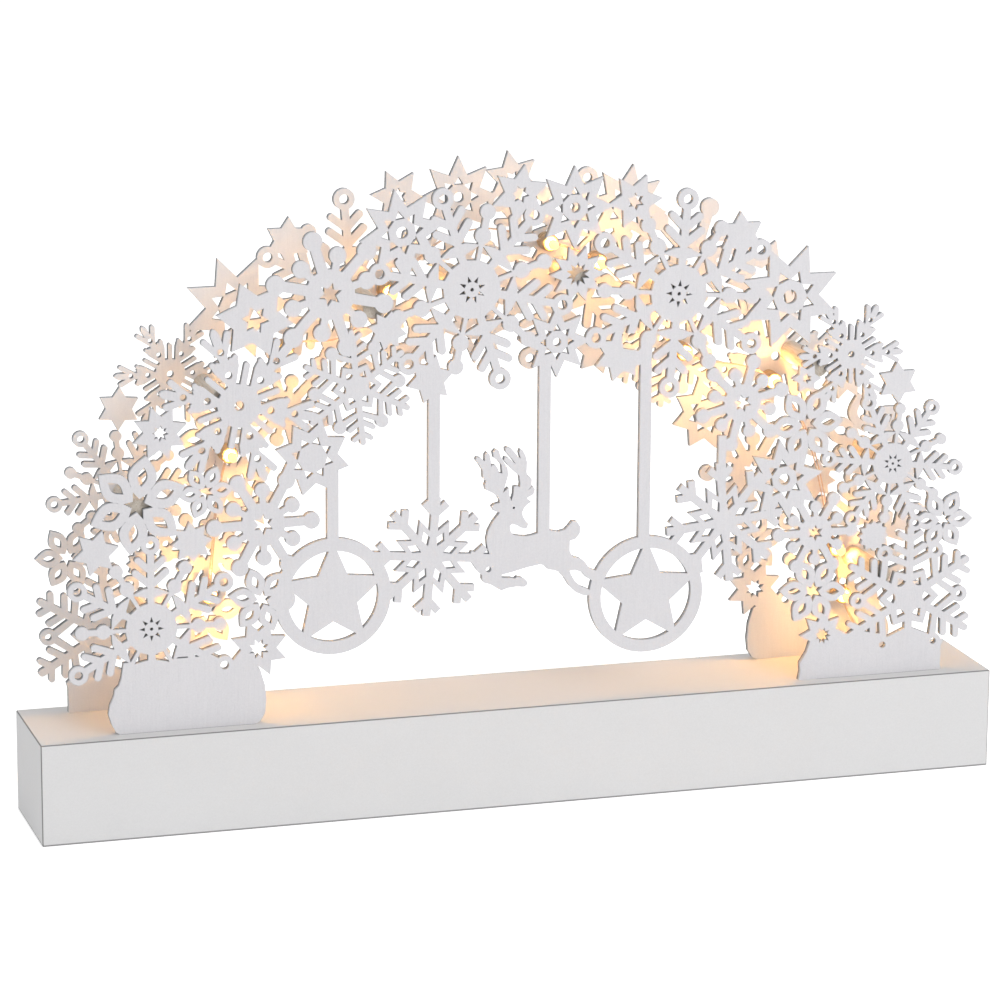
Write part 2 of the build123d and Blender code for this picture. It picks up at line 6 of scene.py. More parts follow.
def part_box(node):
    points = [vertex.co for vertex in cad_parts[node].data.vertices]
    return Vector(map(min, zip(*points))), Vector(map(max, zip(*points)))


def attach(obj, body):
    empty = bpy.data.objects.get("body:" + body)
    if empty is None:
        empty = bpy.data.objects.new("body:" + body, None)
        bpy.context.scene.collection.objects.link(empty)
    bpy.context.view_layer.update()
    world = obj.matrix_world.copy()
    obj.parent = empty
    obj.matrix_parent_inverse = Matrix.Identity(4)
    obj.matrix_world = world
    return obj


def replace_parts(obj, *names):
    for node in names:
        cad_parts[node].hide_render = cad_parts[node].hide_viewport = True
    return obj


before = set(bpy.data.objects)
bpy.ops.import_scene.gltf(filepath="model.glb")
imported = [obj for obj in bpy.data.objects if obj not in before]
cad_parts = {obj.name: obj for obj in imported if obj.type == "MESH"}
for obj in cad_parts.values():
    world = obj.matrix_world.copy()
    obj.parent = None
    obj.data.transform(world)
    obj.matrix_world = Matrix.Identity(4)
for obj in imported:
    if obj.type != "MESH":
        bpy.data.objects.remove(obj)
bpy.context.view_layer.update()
mm = 0.001
print("frame loaded")


def corners(node):
    # the low and the high corner of a CAD node
    return [Vector(corner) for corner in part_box(node)]


class Field:
    # one socket of a node tree, so that shader maths reads like ordinary maths

    def __init__(self, tree, socket=None):
        self.tree = tree
        self.socket = socket

    def node(self, kind, inputs=(), output=0, **settings):
        made = self.tree.nodes.new(kind)
        for key, value in settings.items():
            setattr(made, key, value)
        for key, value in dict(inputs).items():
            feed(self.tree, made.inputs[key], value)
        return Field(self.tree, made.outputs[output])

    def math(self, operation, *others):
        values = (self,) + others
        return self.node("ShaderNodeMath", enumerate(values), operation=operation)

    def __add__(self, other):
        return self.math("ADD", other)

    def __sub__(self, other):
        return self.math("SUBTRACT", other)

    def __rsub__(self, other):
        return self * -1 + other

    def __mul__(self, other):
        return self.math("MULTIPLY", other)

    def __truediv__(self, other):
        return self.math("DIVIDE", other)

    def __abs__(self):
        return self.math("ABSOLUTE")

    def above(self, level, soft):
        # 0 under the level, 1 over it, eased over the soft width
        ends = {0: self, 1: level - soft, 2: level + soft}
        return self.node("ShaderNodeMapRange", ends, interpolation_type="SMOOTHSTEP")

    def between(self, low, high, soft):
        return self.above(low, soft) - self.above(high, soft)

    def colour(self, first, second):
        # first where this field is 0, second where it is 1
        ends = {0: self, 6: first, 7: second}
        return self.node("ShaderNodeMix", ends, 2, data_type="RGBA")

    def split(self):
        return [self.node("ShaderNodeSeparateXYZ", {0: self}, axis) for axis in range(3)]

    def noise(self, scale, detail, roughness):
        inputs = {"Vector": self, "Scale": scale, "Detail": detail, "Roughness": roughness}
        return self.node("ShaderNodeTexNoise", inputs)

    def grained(self, axis, across, along, detail, roughness):
        # noise drawn out along one axis
        scales = [across, across, across]
        scales[axis] = along
        drawnOut = self.node("ShaderNodeVectorMath", {0: self, 1: scales}, operation="MULTIPLY")
        return drawnOut.noise(1, detail, roughness)

    def bump(self, distance, strength):
        return self.node("ShaderNodeBump", {"Height": self, "Distance": distance, "Strength": strength})


def feed(tree, socket, value):
    if isinstance(value, Field):
        tree.links.new(value.socket, socket)
    elif hasattr(socket.default_value, "__len__") and len(socket.default_value) == 4:
        socket.default_value = (*value, 1)
    else:
        socket.default_value = value


def largest(field, *others):
    for other in others:
        field = field.math("MAXIMUM", other)
    return field


socketNames = {
    "base": "Base Color", "rough": "Roughness", "metal": "Metallic", "ior": "IOR", "normal": "Normal",
    "coat": "Coat Weight", "coatRough": "Coat Roughness", "specular": "Specular IOR Level",
    "glow": "Emission Color", "glowStrength": "Emission Strength",
}


def newMaterial(name, **plain):
    # plain values sit on the shader's own sockets
    material = bpy.data.materials.new(name)
    material.use_nodes = True
    tree = material.node_tree
    shader = tree.nodes["Principled BSDF"]
    for key, value in plain.items():
        feed(tree, shader.inputs[socketNames[key]], value)
    return material, shader, Field(tree).node("ShaderNodeTexCoord", output="Object")


def dress(shader, **fields):
    for key, value in fields.items():
        feed(value.tree, shader.inputs[socketNames[key]], value)


def shade(*seen):
    # a colour as it is seen, 0 to 255, as the linear values that the shader takes
    return tuple(((part / 255 + 0.055) / 1.055) ** 2.4 for part in seen)


# In the tables of the materials a noise is its scale, detail and roughness, and a grain has two scales,
# across and along. An edge is a level and its softness, a relief the distance and strength of a bump.

# The painted plywood: two thin coats of white over birch, so the grain and the roller's speckle still show.
paint = {
    "face": (shade(229, 228, 231), shade(214, 213, 217)),
    "rear": (shade(224, 223, 225), shade(207, 206, 208)),
    # the back panel's front face: the same white painted lighter, a painted light for the lamps' glow on it
    "back": (shade(241, 240, 241), shade(227, 226, 228)),
    "grain": (900, 60, 3, 0.6), "pores": (1530, 102, 2, 0.5), "poreEdge": (0.33, 0.04),
    "speckle": (1500, 2, 0.7), "cloud": (28, 3, 0.5), "grainShare": 0.4, "poreShare": 0.4,
    "speckleShare": 0.7, "cloudShare": 0.35, "speckleHeight": 0.6, "relief": (0.00012, 0.5),
    "rough": 0.52, "cloudRough": 0.12, "speckleRough": 0.08,
}


def paintedPlywood(name, grainAxis, light, deep, grainShare=paint["grainShare"]):
    material, shader, place = newMaterial(name, specular=0.3)
    grain = place.grained(grainAxis, *paint["grain"])
    pores = 1 - place.grained(grainAxis, *paint["pores"]).above(*paint["poreEdge"])
    speckle = place.noise(*paint["speckle"])
    cloud = place.noise(*paint["cloud"])
    tone = (grain - 0.5) * grainShare + (speckle - 0.5) * paint["speckleShare"]
    tone = tone + (cloud - 0.5) * paint["cloudShare"] + 0.5 - pores * grainShare * paint["poreShare"]
    base = tone.above(0.5, 0.5).colour(deep, light)
    height = (grain - pores) * grainShare + speckle * paint["speckleHeight"]
    rough = cloud * paint["cloudRough"] + speckle * paint["speckleRough"] + paint["rough"]
    dress(shader, base=base, rough=rough, normal=height.bump(*paint["relief"]))
    return material, shader, place, base


facePaint = paintedPlywood("painted_face", 2, *paint["face"])[0]
# the back panel's front face, painted lighter: a painted light
backPaintLightened = paintedPlywood("painted_back_face_lightened", 2, *paint["back"])[0]
rearPaint = paintedPlywood("painted_rear", 2, *paint["rear"])[0]

# The laser's cut: paint dust keeps it pale near the front of the sheet, and it greys to a dark band at the
# rear, partly soot and partly painted shade. The cut of the rear panel is painted darker still, a painted
# shade.
cut = {
    "pale": shade(212, 214, 218), "grey": shade(168, 169, 172), "sootAndShade": shade(74, 73, 74), "deep": 0.003,
    "burn": (420, 4, 0.6), "streaks": (1500, 90, 3, 0.6), "plies": 3, "plyEdge": (0.86, 0.1),
    "burnShare": 0.5, "streakShare": 0.3, "backPanelShadeShare": 0.12, "rearEdge": (0, 0.001), "greyEdge": (0.45, 0.3),
    "sootAndShadeEdge": (0.82, 0.14), "plyShare": 0.25, "plyHeight": 0.5, "relief": (0.0002, 0.6), "rough": 0.66,
    "burnRough": 0.2,
}


def laserCut():
    material, shader, place = newMaterial("laser_cut_edge", specular=0.2)
    across = place.split()[1]
    depth = (across / cut["deep"]).math("FRACT")
    burn = place.noise(*cut["burn"])
    streaks = place.grained(1, *cut["streaks"])
    plies = (depth * cut["plies"]).math("FRACT").above(*cut["plyEdge"])
    level = depth + (burn - 0.5) * cut["burnShare"] + (streaks - 0.5) * cut["streakShare"]
    # the back panel's cut painted darker: a painted shade
    level = level + across.above(*cut["rearEdge"]) * cut["backPanelShadeShare"]
    greyed = level.above(*cut["greyEdge"]).colour(cut["pale"], cut["grey"])
    # the dark band at the rear of each sheet: partly soot, partly painted shade
    sootAndShaded = level.above(*cut["sootAndShadeEdge"]).colour(greyed, cut["sootAndShade"])
    base = (plies * cut["plyShare"]).colour(sootAndShaded, cut["grey"])
    relief = (streaks - plies * cut["plyHeight"]).bump(*cut["relief"])
    dress(shader, base=base, rough=burn * cut["burnRough"] + cut["rough"], normal=relief)
    return material


cutEdge = laserCut()

# The base boards: painted outside, bare birch plywood on the faces inside the box.
# A thin grey line runs along every edge, where the paint breaks. A painted shadow runs along the bottom edge
# and along the joints with the feet, and the top face is painted a little darker, a painted shade.
board = {
    "light": shade(229, 229, 230), "deep": shade(219, 219, 220), "topShade": shade(205, 204, 203),
    "seamAndShadow": shade(112, 111, 112), "birchLight": shade(222, 196, 158), "birchDeep": shade(196, 163, 122),
    "bareDepth": 0.0003, "soft": 0.0001, "lineWidth": 0.00045, "lineSoft": 0.00012, "bottomShadowWidth": 0.0008,
    "footShadowWidth": 0.0004, "feetSpan": (0.1335, 0.195), "feetMiddle": 0.0075,
    "grainShare": 0.1, "bottomShadowShare": 0.85, "footShadowShare": 0.8, "seamAndShadowShare": 0.85, "topShadeShare": 0.5,
    "growth": (180, 9, 5, 0.65), "growthEdge": (0.5, 0.25),
}


def boardPlywood(name, grainAxis):
    made = paintedPlywood(name, grainAxis, board["light"], board["deep"], board["grainShare"])
    material, shader, place, painted = made
    soft = board["soft"]
    x, y, z = place.split()
    sides = (abs(x), abs(y), z)
    # how far out the inner and the outer faces of the base lie
    end, rear, top = [corners(node) for node in ("right_end_board", "rear_board", "top_board")]
    inner, outer = [(end[face].x, rear[face].y, top[face].z) for face in (0, 1)]
    within = [1 - side.above(face + board["bareDepth"], soft) for side, face in zip(sides, inner)]
    inside = within[0] * within[1] * within[2]
    rims = [side.above(face - board["lineWidth"], board["lineSoft"]) for side, face in zip(sides, outer)]
    # a painted contact shadow along the bottom edge of the outer faces
    bottom = (1 - z.above(board["bottomShadowWidth"], soft)) * largest(rims[0], rims[1])
    panel = corners("back_panel")[1].y
    alongFoot = abs(x * y.math("SIGN") + board["feetMiddle"])
    # a painted shadow on the top board, just in front of each foot
    footShadow = sides[1].between(panel, panel + board["footShadowWidth"], soft) * rims[2]
    footShadow = footShadow * alongFoot.between(*board["feetSpan"], soft)
    edges = (rims[0] * rims[1], rims[0] * rims[2], rims[1] * rims[2])
    # the grey seams along the edges, together with the painted shadows along the bottom and the feet
    seamAndShadow = largest(*edges, bottom * board["bottomShadowShare"], footShadow * board["footShadowShare"])
    # the top face painted a little darker: a painted shade
    painted = (rims[2] * board["topShadeShare"]).colour(painted, board["topShade"])
    painted = (seamAndShadow * board["seamAndShadowShare"]).colour(painted, board["seamAndShadow"])
    growth = place.grained(grainAxis, *board["growth"])
    bare = growth.above(*board["growthEdge"]).colour(board["birchDeep"], board["birchLight"])
    dress(shader, base=inside.colour(painted, bare))
    return material


boardLong = boardPlywood("base_board_long", 0)
boardEnd = boardPlywood("base_board_end", 1)

# The spacer rods: beech dowel, whitened with the same thin paint.
rodLook = {
    "light": shade(222, 215, 205), "deep": shade(196, 184, 168), "toneEdge": (0.5, 0.3),
    "fibres": (1700, 60, 4, 0.6), "flecks": (900, 160, 2, 0.5), "fleckEdge": (0.62, 0.05),
    "fleckShare": 0.3, "rough": 0.5, "fibreRough": 0.2, "relief": (0.0002, 0.5),
}


def whitenedBeech():
    material, shader, place = newMaterial("spacer_rod_wood", specular=0.3)
    fibres = place.grained(1, *rodLook["fibres"])
    flecks = place.grained(1, *rodLook["flecks"]).above(*rodLook["fleckEdge"])
    tone = (fibres - flecks * rodLook["fleckShare"]).above(*rodLook["toneEdge"])
    rough = fibres * rodLook["fibreRough"] + rodLook["rough"]
    base = tone.colour(rodLook["deep"], rodLook["light"])
    dress(shader, base=base, rough=rough, normal=fibres.bump(*rodLook["relief"]))
    return material


rodWood = whitenedBeech()

# The lamps: a warm diode at the foot of a clear bead, whose tip glows far less.
# Those low at the left and high at the right are the brightest.
lampLook = {
    "hot": (1.0, 0.53, 0.13), "warm": (1.0, 0.42, 0.06), "tip": (0.0013, 0.00085, 0.00035),
    "bead": (0.55, 0.46, 0.34), "strength": 900, "ripple": (900, 2, 0.5), "relief": (0.0001, 0.3),
    "tipEdge": (0.0072, 0.0003), "warmEdge": (0.0081, 0.0008), "warmShare": 0.8, "rippleShare": 0.2,
    "upperEdge": (0.15, 0.04), "leftEdge": (-0.1, 0.03), "rightEdge": (0.08, 0.03),
    "usualShare": 0.4, "lowShare": 0.14, "lowLeftShare": 0.46, "upperRightShare": 0.6,
}


def lampGlow():
    plain = {"base": lampLook["bead"], "glowStrength": lampLook["strength"]}
    material, shader, place = newMaterial("lamp_glow", rough=0.3, ior=1.49, **plain)
    x, y, z = place.split()
    ripple = place.noise(*lampLook["ripple"])
    warmth = y.above(*lampLook["warmEdge"]) * lampLook["warmShare"] + ripple * lampLook["rippleShare"]
    diode = warmth.colour(lampLook["hot"], lampLook["warm"])
    upper = z.above(*lampLook["upperEdge"])
    left = 1 - x.above(*lampLook["leftEdge"])
    right = x.above(*lampLook["rightEdge"])
    low = (left * lampLook["lowLeftShare"] + lampLook["lowShare"]) * (1 - upper)
    share = low + upper * right * lampLook["upperRightShare"] + lampLook["usualShare"]
    glow = (y.above(*lampLook["tipEdge"]) * share).colour(lampLook["tip"], diode)
    dress(shader, glow=glow, normal=ripple.bump(*lampLook["relief"]))
    return material


bulbGlow = lampGlow()

# The lamp sockets: moulded plastic the colour of beeswax, with a matt skin.
socketLook = {
    "light": shade(188, 164, 132), "deep": shade(172, 148, 116), "haze": (160, 3, 0.5),
    "hazeEdge": (0.5, 0.3), "skin": (1500, 2, 0.5), "rough": 0.32, "skinRough": 0.2,
    "relief": (0.00006, 0.5),
}


def socketSkin():
    material, shader, place = newMaterial("socket_plastic", specular=0.45)
    skin = place.noise(*socketLook["skin"])
    haze = place.noise(*socketLook["haze"]).above(*socketLook["hazeEdge"])
    rough = skin * socketLook["skinRough"] + socketLook["rough"]
    base = haze.colour(socketLook["deep"], socketLook["light"])
    dress(shader, base=base, rough=rough, normal=skin.bump(*socketLook["relief"]))
    return material


socketPlastic = socketSkin()

# The twin wire: copper under a thin clear lacquer.
copperLook = {
    "light": shade(232, 212, 196), "deep": shade(206, 178, 158), "drawn": (700, 3, 0.5),
    "drawnEdge": (0.5, 0.3), "rough": 0.25, "drawnRough": 0.25,
}


def lacqueredCopper():
    material, shader, place = newMaterial("lacquered_copper", metal=0.35, coat=0.5, coatRough=0.2)
    drawn = place.noise(*copperLook["drawn"])
    base = drawn.above(*copperLook["drawnEdge"]).colour(copperLook["deep"], copperLook["light"])
    dress(shader, base=base, rough=drawn * copperLook["drawnRough"] + copperLook["rough"])
    return material


copper = lacqueredCopper()

# Battery box and knob: moulded plastic with a fine spark-eroded skin and rubbed spots.
plasticLook = {
    "box": (shade(44, 44, 46), shade(28, 28, 30), (2600, 3, 0.6), (0.00008, 0.6)),
    "knob": (shade(202, 202, 200), shade(184, 184, 182), (1900, 3, 0.6), (0.00006, 0.6)),
    "flow": (35, 87.5, 3, 0.5), "rub": (260, 5, 0.7), "rubEdge": (0.63, 0.04), "toneEdge": (0.5, 0.4),
    "flowShare": 0.7, "rubShare": 0.5, "rough": 0.34, "skinRough": 0.22, "rubRough": 0.12,
}


def mouldedPlastic(name, light, deep, skinNoise, relief):
    material, shader, place = newMaterial(name, specular=0.45)
    skin = place.noise(*skinNoise)
    flow = place.grained(1, *plasticLook["flow"])
    rub = place.noise(*plasticLook["rub"]).above(*plasticLook["rubEdge"])
    tone = flow * plasticLook["flowShare"] + rub * plasticLook["rubShare"]
    rough = skin * plasticLook["skinRough"] + rub * plasticLook["rubRough"] + plasticLook["rough"]
    base = tone.above(*plasticLook["toneEdge"]).colour(deep, light)
    dress(shader, base=base, rough=rough, normal=skin.bump(*relief))
    return material


boxPlastic = mouldedPlastic("box_plastic_skin", *plasticLook["box"])
knobPlastic = mouldedPlastic("knob_plastic_skin", *plasticLook["knob"])

# The timer board: green solder resist with the copper tracks showing through.
circuitLook = {
    "resist": shade(28, 98, 62), "track": shade(52, 132, 84), "patches": (240, 48, 1, 0.3),
    "patchEdge": (0.5, 0.02), "trackScale": 1400, "trackEdge": (0.55, 0.1), "weaveScale": 9000,
    "weaveHeight": 0.1, "relief": (0.00005, 0.6), "rough": 0.36, "weaveRough": 0.05,
}


def solderResist():
    material, shader, place = newMaterial("circuit_resist", coat=0.4, coatRough=0.15, specular=0.5)
    across, along = place.split()[:2]
    patches = place.grained(1, *circuitLook["patches"]).above(*circuitLook["patchEdge"])
    tracks = (across * circuitLook["trackScale"]).math("SINE").above(*circuitLook["trackEdge"]) * patches
    threads = [(axis * circuitLook["weaveScale"]).math("SINE") for axis in (along, across)]
    weave = threads[0] * threads[1]
    relief = (tracks + weave * circuitLook["weaveHeight"]).bump(*circuitLook["relief"])
    rough = weave * circuitLook["weaveRough"] + circuitLook["rough"]
    base = tracks.colour(circuitLook["resist"], circuitLook["track"])
    dress(shader, base=base, rough=rough, normal=relief)
    return material


circuit = solderResist()

# Contacts and screws: drawn metal, plated with nickel or zinc, with faint stains.
metalLook = {
    "nickel": (2, shade(214, 210, 200), shade(176, 170, 158)),
    "zinc": (0, shade(206, 208, 212), shade(160, 163, 170)),
    "drawn": (1600, 90, 3, 0.5), "stain": (210, 4, 0.6), "stainShare": 0.8, "drawnShare": 0.3,
    "toneEdge": (0.55, 0.3), "rough": 0.14, "drawnRough": 0.2, "stainRough": 0.12, "relief": (0.00003, 0.5),
}


def platedMetal(name, drawnAxis, light, deep):
    material, shader, place = newMaterial(name, metal=1)
    drawn = place.grained(drawnAxis, *metalLook["drawn"])
    stain = place.noise(*metalLook["stain"])
    tone = stain * metalLook["stainShare"] + drawn * metalLook["drawnShare"]
    rough = drawn * metalLook["drawnRough"] + stain * metalLook["stainRough"] + metalLook["rough"]
    base = tone.above(*metalLook["toneEdge"]).colour(deep, light)
    dress(shader, base=base, rough=rough, normal=drawn.bump(*metalLook["relief"]))
    return material


nickel = platedMetal("nickel_plate", *metalLook["nickel"])
zinc = platedMetal("zinc_plate", *metalLook["zinc"])

# The cells: a steel can in a printed-film sleeve, plain blue with a pale band at the capped end.
cellLook = {
    "sleeve": shade(38, 72, 128), "sleeveLight": shade(50, 88, 146), "band": shade(206, 208, 210),
    "bandEdge": (0.1236, 0.00008), "wrinkle": (600, 40, 3, 0.5), "wrinkleEdge": (0.5, 0.4),
    "film": (900, 2, 0.5), "rough": 0.24, "filmRough": 0.15, "relief": (0.00006, 0.4),
}


def filmSleeve():
    material, shader, place = newMaterial("cell_sleeve", coat=0.5, coatRough=0.12)
    wrinkle = place.grained(0, *cellLook["wrinkle"])
    sleeve = wrinkle.above(*cellLook["wrinkleEdge"]).colour(cellLook["sleeve"], cellLook["sleeveLight"])
    band = place.split()[0].above(*cellLook["bandEdge"])
    rough = place.noise(*cellLook["film"]) * cellLook["filmRough"] + cellLook["rough"]
    base = band.colour(sleeve, cellLook["band"])
    dress(shader, base=base, rough=rough, normal=wrinkle.bump(*cellLook["relief"]))
    return material


cellSleeve = filmSleeve()
print("materials made")


def begin():
    # object mode, and nothing selected
    if bpy.context.object and bpy.context.object.mode != "OBJECT":
        bpy.ops.object.mode_set(mode="OBJECT")
    bpy.ops.object.select_all(action="DESELECT")


def takeUp(piece):
    # only this piece selected, and active
    begin()
    piece.select_set(True)
    bpy.context.view_layer.objects.active = piece


def dressNode(node, material):
    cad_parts[node].data.materials.clear()
    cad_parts[node].data.materials.append(material)


def settle(piece, slot, *materials):
    # apply its place and turn, give it its materials, hang it on the arch
    takeUp(piece)
    bpy.ops.object.transform_apply(location=True, rotation=True, scale=True)
    piece.data.name = piece.name
    if materials:
        piece.data.materials.clear()
        for material in materials:
            piece.data.materials.append(material)
    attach(piece, "arch")
    return piece


# A round piece is shaded smooth, except over edges sharper than this.
smoothAngle = radians(40)


def ringStack(name, rings, sides):
    # a round body from ring to ring along +Z, each ring given as its height and radius in mm
    begin()
    height, radius = rings[0]
    place = (0, 0, height * mm)
    bpy.ops.mesh.primitive_circle_add(vertices=sides, radius=radius * mm, fill_type="NGON", location=place)
    piece = bpy.context.object
    piece.name = name
    bpy.ops.object.transform_apply(location=True)
    bpy.ops.object.mode_set(mode="EDIT")
    bpy.ops.mesh.select_all(action="SELECT")
    for nextHeight, nextRadius in rings[1:]:
        bpy.ops.mesh.extrude_region_move(TRANSFORM_OT_translate={"value": (0, 0, (nextHeight - height) * mm)})
        growth = nextRadius / radius
        bpy.ops.transform.resize(value=(growth, growth, 1), center_override=(0, 0, nextHeight * mm))
        height, radius = nextHeight, nextRadius
    bpy.ops.mesh.select_all(action="SELECT")
    bpy.ops.mesh.normals_make_consistent(inside=False)
    bpy.ops.object.mode_set(mode="OBJECT")
    bpy.ops.object.shade_smooth_by_angle(angle=smoothAngle)
    return piece


def joined(name, parts):
    begin()
    for part in parts:
        part.select_set(True)
    bpy.context.view_layer.objects.active = parts[0]
    bpy.ops.object.join()
    parts[0].name = name
    return parts[0]


# Every outline lies in the plane of the sheet as (x, z), in mm from the middle of the arch and above ground.
# A motif is drawn at unit size, in shares of that size, and set down at a place, which is its x, z, size and
# turn in degrees. A disc is its radius, its number of sides and how far out it sits.
woodOutlines = []
holeOutlines = []


def setDown(outline, place, turn=0):
    x, z, size, ownTurn = place
    angle = radians(ownTurn + turn)
    along = size * cos(angle)
    across = size * sin(angle)
    return [(x + p * along - q * across, z + p * across + q * along) for p, q in outline]


def addWood(outline, place, turn=0):
    woodOutlines.append(setDown(outline, place, turn))


def addHole(outline, place, turn=0):
    holeOutlines.append(setDown(outline, place, turn))


def polar(radius, angle):
    return radius * cos(angle), radius * sin(angle)


def roundDisc(radius, sides, out=0):
    angles = [2 * pi * step / sides for step in range(sides)]
    return [(out + radius * cos(angle), radius * sin(angle)) for angle in angles]


def starShape(tips, tip, valley, start=0):
    outline = []
    for number in range(2 * tips):
        radius = valley if number % 2 else tip
        outline.append(polar(radius, radians(start + 180 * number / tips)))
    return outline


# The steps of a half-round end.
barEndSteps = 6


def roundedBar(first, last, halfWidth):
    # a bar from point to point with half-round ends
    heading = atan2(last[1] - first[1], last[0] - first[0])
    outline = []
    for end, away in ((last, heading - pi / 2), (first, heading + pi / 2)):
        for step in range(barEndSteps + 1):
            x, z = polar(halfWidth, away + pi * step / barEndSteps)
            outline.append((end[0] + x, end[1] + z))
    return outline


def squareBar(near, far, nearHalf, farHalf):
    return [(near, -nearHalf), (far, -farHalf), (far, farHalf), (near, nearHalf)]


def almond(near, far, halfWidth, steps):
    # pointed at both ends, with a sine curve for each side
    lower = [step / steps for step in range(steps)]
    upper = [1 - share for share in lower]
    outline = [(near + (far - near) * share, -halfWidth * sin(pi * share)) for share in lower]
    return outline + [(near + (far - near) * share, halfWidth * sin(pi * share)) for share in upper]


def otherSide(outline):
    return [(along, -across) for along, across in reversed(outline)]


def addTwigs(twigs, place, turn):
    # pairs of short rounded twigs that leave an arm to both sides
    for root, end, halfWidth in twigs:
        twig = roundedBar(root, end, halfWidth)
        addWood(twig, place, turn)
        addWood(otherSide(twig), place, turn)


# The large flake: six beaded spokes, and between them six arms with twigs and a ring at the end.
ringedShares = {
    "core": ((-20, 0.49), (-9, 0.475), (9, 0.475), (20, 0.49), (30, 0.49)),
    "spoke": (0.3, 0.817, 0.036, 0.036), "innerBead": (0.087, 18, 0.565), "outerBead": (0.081, 20, 0.817),
    "slit": ((0.305, 0.021), (0.46, 0.024), (0.345, 0.148), (0.285, 0.118)),
    "arm": (0.3, 0.92, 0.041, 0.041), "ring": (0.113, 28, 1), "ringHole": (0.052, 18, 1),
    "twigs": (((0.52, 0), (0.675, 0.18), 0.042), ((0.69, 0), (0.825, 0.15), 0.04)),
    "ray": ((0.08, -0.022), (0.15, 0), (0.08, 0.022)), "middle": (0.02, 12),
}


def ringedFlake(place, plain=None):
    # the plain spoke is left out, and the ring beside it stays closed
    core = []
    for spoke in range(6):
        core += [polar(radius, radians(60 * spoke + angle)) for angle, radius in ringedShares["core"]]
    addWood(core, place)
    for spoke in range(6):
        turn = 60 * spoke
        if spoke != plain:
            addWood(squareBar(*ringedShares["spoke"]), place, turn)
            addWood(roundDisc(*ringedShares["innerBead"]), place, turn)
            addWood(roundDisc(*ringedShares["outerBead"]), place, turn)
        addHole(ringedShares["slit"], place, turn)
        addHole(otherSide(ringedShares["slit"]), place, turn)
        turn += 30
        addWood(squareBar(*ringedShares["arm"]), place, turn)
        addTwigs(ringedShares["twigs"], place, turn)
        addWood(roundDisc(*ringedShares["ring"]), place, turn)
        if spoke != plain:
            addHole(roundDisc(*ringedShares["ringHole"]), place, turn)
    for ray in range(8):
        addHole(ringedShares["ray"], place, 45 * ray)
    addHole(roundDisc(*ringedShares["middle"]), place)


# The flake of balls: a round hub, six long and six short arms, each with a ball.
balledShares = {
    "hub": (0.45, 36), "longArm": (0.3, 1, 0.1, 0.088), "longBall": (0.172, 26, 1),
    "shortArm": (0.3, 0.7, 0.065, 0.065), "shortBall": (0.155, 24, 0.7), "star": (6, 0.22, 0.11, 30),
}


def balledFlake(place):
    addWood(roundDisc(*balledShares["hub"]), place)
    for arm in range(6):
        addWood(squareBar(*balledShares["longArm"]), place, 60 * arm)
        addWood(roundDisc(*balledShares["longBall"]), place, 60 * arm)
        addWood(squareBar(*balledShares["shortArm"]), place, 60 * arm + 30)
        addWood(roundDisc(*balledShares["shortBall"]), place, 60 * arm + 30)
    addHole(starShape(*balledShares["star"]), place)


# The flower: six petals, each with an almond opening, round a pierced star.
flowerShares = {
    "hub": (0.42, 18), "petal": (0.14, 1.03, 0.29, 12), "opening": (0.39, 0.79, 0.1, 8),
    "star": (6, 0.31, 0.14, 30),
}


def flower(place):
    addWood(roundDisc(*flowerShares["hub"]), place)
    for petal in range(6):
        addWood(almond(*flowerShares["petal"]), place, 60 * petal)
        addHole(almond(*flowerShares["opening"]), place, 60 * petal)
    addHole(starShape(*flowerShares["star"]), place)


# The sun: an eight-pointed star with a dart in each point and a round hole in the middle. It comes as usual
# or full, each with how far out its valleys lie and its dart.
sunShares = {
    "usual": (0.57, ((0.31, -0.115), (0.51, 0), (0.31, 0.115))),
    "full": (0.67, ((0.37, -0.13), (0.57, 0), (0.37, 0.13))), "middleSides": 20,
}


def sun(place, middleHole, kind="usual"):
    valley, dart = sunShares[kind]
    addWood(starShape(8, 1, valley), place)
    for point in range(8):
        addHole(dart, place, 45 * point)
    if middleHole:
        addHole(roundDisc(middleHole, sunShares["middleSides"]), place)


# The slotted flake: six broad twigged arms with two holes each, and six narrow stubs between them.
slottedShares = {
    "hub": (0.268, 24), "holes": ((0.046, 14, 0.4), (0.044, 14, 0.7)), "middle": (0.062, 18),
    "arm": ((0.1, -0.055), (0.93, -0.055), (0.98, -0.03), (1, 0), (0.98, 0.03), (0.93, 0.055), (0.1, 0.055)),
    "web": ((0.2, 0), (0.27, 0.05), (0.47, 0.155), (0.54, 0.17), (0.60, 0.09), (0.55, 0)),
    "twigs": (((0.44, 0), (0.58, 0.15), 0.036), ((0.61, 0), (0.88, 0.15), 0.042)),
    "stub": ((0.15, 0), (0.505, 0), 0.036),
}


def slottedFlake(place):
    addWood(roundDisc(*slottedShares["hub"]), place)
    for arm in range(6):
        turn = 60 * arm
        addWood(slottedShares["arm"], place, turn)
        addWood(slottedShares["web"], place, turn)
        addWood(otherSide(slottedShares["web"]), place, turn)
        addTwigs(slottedShares["twigs"], place, turn)
        for hole in slottedShares["holes"]:
            addHole(roundDisc(*hole), place, turn)
        addWood(roundedBar(*slottedShares["stub"]), place, turn + 30)
    addHole(roundDisc(*slottedShares["middle"]), place)


